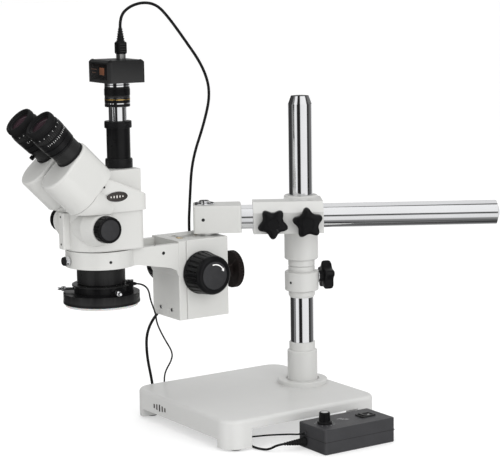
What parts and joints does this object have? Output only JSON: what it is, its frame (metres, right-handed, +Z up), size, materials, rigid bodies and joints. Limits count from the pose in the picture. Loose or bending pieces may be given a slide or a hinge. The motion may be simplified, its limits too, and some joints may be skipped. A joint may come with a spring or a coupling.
{
  "type": "stereo boom microscope",
  "caption": "Stereo zoom microscope with a camera port, USB camera and LED ring light on a single-arm boom stand with a square base and a lighting dimmer box.",
  "frame": {"origin": "on the surface that it stands on, under the middle of the square base", "axes": "+Z up, -Y towards the user, +X to the user's right, square base's sides along X and Y"},
  "size_m": [0.3971, 0.6077, 0.5639],
  "materials": {
    "cast_enamel": "white enamel on cast iron",
    "white_enamel": "satin white enamel on cast aluminium",
    "steel_enamel": "satin white enamel",
    "chrome_bar": "polished chrome",
    "zinc": "plain zinc plate",
    "black_anodised": "black anodised, satin",
    "bright_ring": "bare turned aluminium",
    "black_knob": "black moulded plastic, satin",
    "brown_knob": "dark brown-black moulded plastic",
    "black_rubber": "soft black rubber",
    "glass": "coated optical glass",
    "brass_rack": "cut brass",
    "diffuser": "milky diffuser",
    "camera_black": "black anodised, finely blasted",
    "box_grey": "dark grey textured plastic",
    "cord_black": "black PVC jacket"
  },
  "bodies": {
    "stand": {"base_plate": "cast_enamel", "rubber_feet": "black_rubber", "pillar_flange": "steel_enamel", "pillar_bolt": "zinc", "pillar": "chrome_bar", "control_box_base": "box_grey", "control_box_lid": "box_grey", "cable_boot": "black_rubber", "usb_cable": "cord_black", "usb_cable_coil": "cord_black", "usb_a_plug": "black_knob", "led_cable": "cord_black", "power_cable": "cord_black", "power_cable_coil": "cord_black", "power_adapter": "black_knob"},
    "collar": {"safety_collar": "steel_enamel"},
    "collar_knob": {"collar_knob": "black_knob"},
    "clamp": {"arm_clamp": "steel_enamel"},
    "clamp_knob_front": {"clamp_knob_front": "black_knob"},
    "clamp_knob_rear": {"clamp_knob_rear": "black_knob"},
    "post_lock_knob": {"post_lock_knob": "black_knob"},
    "boom": {"boom_bar": "chrome_bar"},
    "end_block": {"boom_end_block": "white_enamel", "swivel_bolt": "zinc"},
    "focus_block": {"focus_housing": "white_enamel", "swivel_bearing": "zinc"},
    "focus_drive": {"focus_pinion": "zinc", "focus_knobs": "black_knob"},
    "swivel_lock": {"swivel_lock_knob": "brown_knob"},
    "carrier": {"focus_slide": "white_enamel", "focus_rack": "brass_rack", "head_holder": "white_enamel"},
    "holder_screw": {"holder_screw": "zinc"},
    "head": {"zoom_body": "white_enamel", "upper_housing": "white_enamel", "objective_housing": "black_anodised", "objective_lens": "glass", "port_tube": "black_anodised", "ring_light_housing": "black_anodised", "ring_light_diffuser": "diffuser", "ring_light_screws": "zinc"},
    "zoom_drive": {"zoom_knobs": "black_knob", "zoom_shaft": "zinc"},
    "eye_right": {"prism_housing_right": "white_enamel", "eyepiece_tube_right": "black_anodised", "eyepiece_right": "black_anodised", "eyecup_right": "black_rubber"},
    "eye_left": {"prism_housing_left": "white_enamel", "eyepiece_tube_left": "black_anodised", "eyepiece_left": "black_anodised", "eyecup_left": "black_rubber"},
    "diopter_right": {"diopter_ring_right": "black_anodised"},
    "diopter_left": {"diopter_ring_left": "black_anodised"},
    "eyepiece_lock": {"eyepiece_lock_screw": "zinc"},
    "camera": {"photo_tube": "chrome_bar", "camera_adapter": "black_anodised", "camera_body": "camera_black", "usb_plug": "black_knob"},
    "dimmer": {"dimmer_knob": "black_knob"},
    "rocker": {"rocker_switch": "black_knob"}
  },
  "joints": [
    {"name": "column_height", "type": "slide", "parent": "stand", "child": "collar", "axis": [0, 0, 1], "range_m": [-0.055, 0.11], "deforming": ["usb_cable", "led_cable"]},
    {"name": "collar_knob_turn", "type": "hinge", "parent": "collar", "child": "collar_knob", "pos_m": [0, 0.08, 0.187], "axis": [0.284, 0.9588, 0], "range_deg": [-180, 40]},
    {"name": "arm_swing", "type": "hinge", "parent": "collar", "child": "clamp", "pos_m": [0, 0.08, 0.25], "axis": [0, 0, 1], "range_deg": [-90, 90], "deforming": ["usb_cable", "led_cable"]},
    {"name": "clamp_knob_front_turn", "type": "hinge", "parent": "clamp", "child": "clamp_knob_front", "pos_m": [0.03433, 0.0097, 0.2725], "axis": [0.8526, -0.5225, 0], "range_deg": [-180, 40]},
    {"name": "clamp_knob_rear_turn", "type": "hinge", "parent": "clamp", "child": "clamp_knob_rear", "pos_m": [0.05836, 0.04893, 0.2725], "axis": [0.8526, -0.5225, 0], "range_deg": [-180, 40]},
    {"name": "post_lock_knob_turn", "type": "hinge", "parent": "clamp", "child": "post_lock_knob", "pos_m": [0, 0.08, 0.262], "axis": [-0.8526, 0.5225, 0], "range_deg": [-180, 40]},
    {"name": "boom_slide", "type": "slide", "parent": "clamp", "child": "boom", "axis": [-0.5225, -0.8526, 0], "range_m": [-0.014, 0.15], "deforming": ["usb_cable", "led_cable"]},
    {"name": "boom_roll", "type": "hinge", "parent": "boom", "child": "end_block", "pos_m": [-0.01473, -0.02825, 0.2775], "axis": [0.5225, 0.8526, 0], "range_deg": [-25, 25], "deforming": ["usb_cable", "led_cable"]},
    {"name": "head_swivel", "type": "hinge", "parent": "end_block", "child": "focus_block", "pos_m": [-0.03093, -0.05469, 0.257], "axis": [0, 0, 1], "range_deg": [-75, 75], "deforming": ["usb_cable", "led_cable"]},
    {"name": "swivel_lock_turn", "type": "hinge", "parent": "focus_block", "child": "swivel_lock", "pos_m": [-0.03093, -0.04069, 0.204], "axis": [0, 1, 0], "range_deg": [-180, 40]},
    {"name": "focus_travel", "type": "slide", "parent": "focus_block", "child": "carrier", "axis": [0, 0, 1], "range_m": [-0.025, 0.025], "deforming": ["usb_cable", "led_cable"]},
    {"name": "focus_turn", "type": "hinge", "parent": "focus_block", "child": "focus_drive", "pos_m": [-0.03093, -0.08269, 0.212], "axis": [-1, 0, 0], "range_deg": [-180, 180]},
    {"name": "holder_screw_turn", "type": "hinge", "parent": "carrier", "child": "holder_screw", "pos_m": [-0.03093, -0.21249, 0.241], "axis": [0, -1, 0], "range_deg": [-180, 40]},
    {"name": "head_turn", "type": "hinge", "parent": "carrier", "child": "head", "pos_m": [-0.03093, -0.21249, 0.242], "axis": [0, 0, 1], "range_deg": [-90, 90], "deforming": ["usb_cable", "led_cable"]},
    {"name": "zoom_turn", "type": "hinge", "parent": "head", "child": "zoom_drive", "pos_m": [-0.03093, -0.23349, 0.2855], "axis": [1, 0, 0], "range_deg": [-120, 120]},
    {"name": "eye_spread_right", "type": "hinge", "parent": "head", "child": "eye_right", "pos_m": [-0.00293, -0.26826, 0.34017], "axis": [0, 0.7071, -0.7071], "range_deg": [0, 22]},
    {"name": "eye_spread_left", "type": "hinge", "parent": "head", "child": "eye_left", "pos_m": [-0.05893, -0.26826, 0.34017], "axis": [0, 0.7071, -0.7071], "range_deg": [-22, 0]},
    {"name": "diopter_right_turn", "type": "hinge", "parent": "eye_right", "child": "diopter_right", "pos_m": [-0.00293, -0.29761, 0.40982], "axis": [0, -0.7071, 0.7071], "range_deg": [-90, 90]},
    {"name": "diopter_left_turn", "type": "hinge", "parent": "eye_left", "child": "diopter_left", "pos_m": [-0.05893, -0.29761, 0.40982], "axis": [0, -0.7071, 0.7071], "range_deg": [-90, 90]},
    {"name": "eyepiece_lock_turn", "type": "hinge", "parent": "eye_left", "child": "eyepiece_lock", "pos_m": [-0.05893, -0.28841, 0.37446], "axis": [0, -0.7071, -0.7071], "range_deg": [-180, 40]},
    {"name": "camera_turn", "type": "hinge", "parent": "head", "child": "camera", "pos_m": [-0.03093, -0.18199, 0.41], "axis": [0, 0, 1], "range_deg": [-90, 90], "deforming": ["usb_cable"]},
    {"name": "dimmer_turn", "type": "hinge", "parent": "stand", "child": "dimmer", "pos_m": [0.1696, -0.0063, 0.032], "axis": [0, 0, 1], "range_deg": [-140, 140]},
    {"name": "rocker_tilt", "type": "hinge", "parent": "stand", "child": "rocker", "pos_m": [0.1696, 0.0584, 0.031], "axis": [1, 0, 0], "range_deg": [-16, 0]}
  ],
  "couplings": [
    {"joint": "focus_turn", "follows": "focus_travel", "rad_per_m": 125},
    {"joint": "eye_spread_left", "follows": "eye_spread_right", "ratio": -1}
  ]
}
